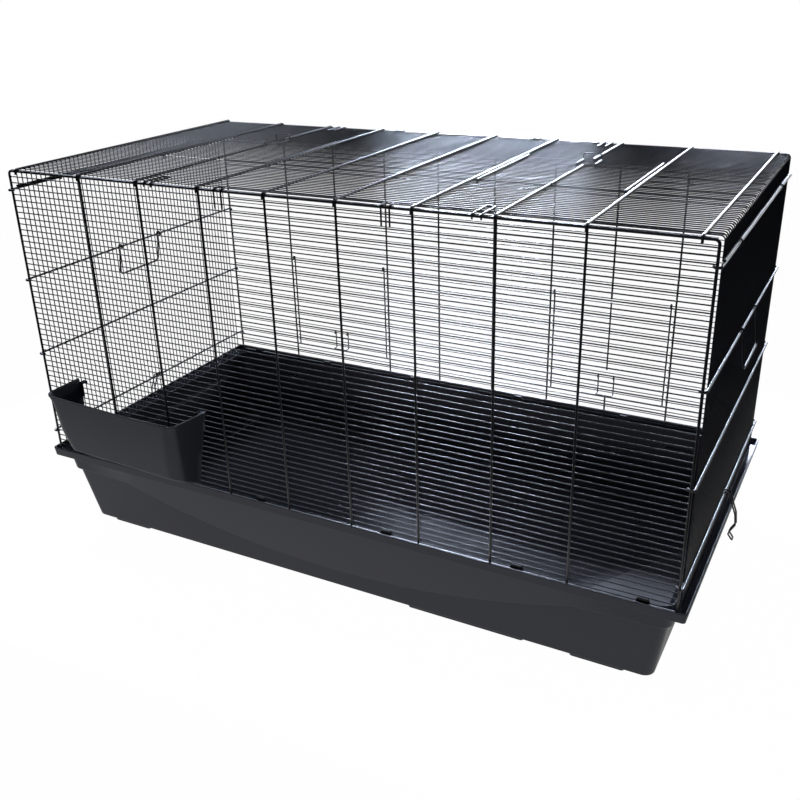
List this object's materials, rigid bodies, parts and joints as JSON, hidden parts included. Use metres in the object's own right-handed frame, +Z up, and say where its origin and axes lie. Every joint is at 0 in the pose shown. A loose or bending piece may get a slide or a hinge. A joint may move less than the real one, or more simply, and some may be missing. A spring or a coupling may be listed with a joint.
{
  "type": "small animal cage",
  "caption": "Small animal cage: black wire top with hinged roof and back doors, wire latches, carrying handles and a hung hay rack, standing on a deep plastic tray.",
  "frame": {"origin": "centre of the tray's footprint, on the ground plane its moulded feet stand on", "axes": "+X along the length, to the right seen from the hay rack side; +Y from the hay rack side to the back; +Z up"},
  "size_m": [1.0246, 0.5655, 0.5855],
  "materials": {
    "charcoal_plastic": "satin moulded polypropylene",
    "black_plastic": "satin",
    "black_enamel": "glossy black enamel on steel wire"
  },
  "bodies": {
    "tray": {"tray": "charcoal_plastic", "locating_tabs": "black_plastic"},
    "wire_top": {"front_frame": "black_enamel", "front_uprights": "black_enamel", "front_bars": "black_enamel", "back_frame": "black_enamel", "back_uprights": "black_enamel", "back_bars": "black_enamel", "left_side_bars": "black_enamel", "left_side_cross_wires": "black_enamel", "right_side_bars": "black_enamel", "right_side_cross_wires": "black_enamel", "top_bars_front": "black_enamel", "top_bars_middle": "black_enamel", "top_bars_rear": "black_enamel", "top_edge_rails": "black_enamel", "top_cross_wires": "black_enamel", "panel_clips": "black_enamel"},
    "top_left_door": {"top_left_door_bars": "black_enamel", "top_left_door_wires": "black_enamel"},
    "top_left_latch": {"top_left_door_latch": "black_enamel"},
    "top_right_door": {"top_right_door_bars": "black_enamel", "top_right_door_wires": "black_enamel"},
    "top_right_latch": {"top_right_door_latch": "black_enamel"},
    "back_left_door": {"back_left_door_bars": "black_enamel", "back_left_door_wires": "black_enamel"},
    "back_left_latch": {"back_left_door_latch": "black_enamel"},
    "back_right_door": {"back_right_door_bars": "black_enamel", "back_right_door_wires": "black_enamel"},
    "back_right_latch": {"back_right_door_latch": "black_enamel"},
    "left_handle": {"left_handle": "black_enamel"},
    "left_tray_clip": {"left_tray_clip": "black_enamel"},
    "right_handle": {"right_handle": "black_enamel"},
    "right_tray_clip": {"right_tray_clip": "black_enamel"},
    "hay_rack": {"hay_rack": "charcoal_plastic"}
  },
  "joints": [
    {"name": "wire_top_lift", "type": "slide", "parent": "tray", "child": "wire_top", "axis": [0, 0, 1], "range_m": [0, 0.15]},
    {"name": "top_left_door_hinge", "type": "hinge", "parent": "wire_top", "child": "top_left_door", "pos_m": [-0.2535, -0.0765, 0.57395], "axis": [1, 0, 0], "range_deg": [0, 110]},
    {"name": "top_left_latch_hinge", "type": "hinge", "parent": "top_left_door", "child": "top_left_latch", "pos_m": [-0.2535, 0.068, 0.5743], "axis": [1, 0, 0], "range_deg": [0, 110]},
    {"name": "top_right_door_hinge", "type": "hinge", "parent": "wire_top", "child": "top_right_door", "pos_m": [0.2535, -0.0765, 0.57395], "axis": [1, 0, 0], "range_deg": [0, 110]},
    {"name": "top_right_latch_hinge", "type": "hinge", "parent": "top_right_door", "child": "top_right_latch", "pos_m": [0.2535, 0.068, 0.5743], "axis": [1, 0, 0], "range_deg": [0, 110]},
    {"name": "back_left_door_hinge", "type": "hinge", "parent": "wire_top", "child": "back_left_door", "pos_m": [-0.2535, 0.2415, 0.335], "axis": [1, 0, 0], "range_deg": [0, 110]},
    {"name": "back_left_latch_hinge", "type": "hinge", "parent": "back_left_door", "child": "back_left_latch", "pos_m": [-0.2535, 0.24185, 0.199], "axis": [1, 0, 0], "range_deg": [0, 110]},
    {"name": "back_right_door_hinge", "type": "hinge", "parent": "wire_top", "child": "back_right_door", "pos_m": [0.2535, 0.2415, 0.335], "axis": [1, 0, 0], "range_deg": [0, 110]},
    {"name": "back_right_latch_hinge", "type": "hinge", "parent": "back_right_door", "child": "back_right_latch", "pos_m": [0.2535, 0.24185, 0.199], "axis": [1, 0, 0], "range_deg": [0, 110]},
    {"name": "left_handle_hinge", "type": "hinge", "parent": "wire_top", "child": "left_handle", "pos_m": [-0.49255, 0, 0.413], "axis": [0, 1, 0], "range_deg": [0, 120]},
    {"name": "left_tray_clip_hinge", "type": "hinge", "parent": "wire_top", "child": "left_tray_clip", "pos_m": [-0.49255, 0, 0.166], "axis": [0, 1, 0], "range_deg": [-9.5, 100]},
    {"name": "right_handle_hinge", "type": "hinge", "parent": "wire_top", "child": "right_handle", "pos_m": [0.49255, 0, 0.413], "axis": [0, -1, 0], "range_deg": [0, 120]},
    {"name": "right_tray_clip_hinge", "type": "hinge", "parent": "wire_top", "child": "right_tray_clip", "pos_m": [0.49255, 0, 0.166], "axis": [0, -1, 0], "range_deg": [-9.5, 100]},
    {"name": "hay_rack_lift", "type": "slide", "parent": "wire_top", "child": "hay_rack", "axis": [0, 0, 1], "range_m": [0, 0.0032]}
  ]
}
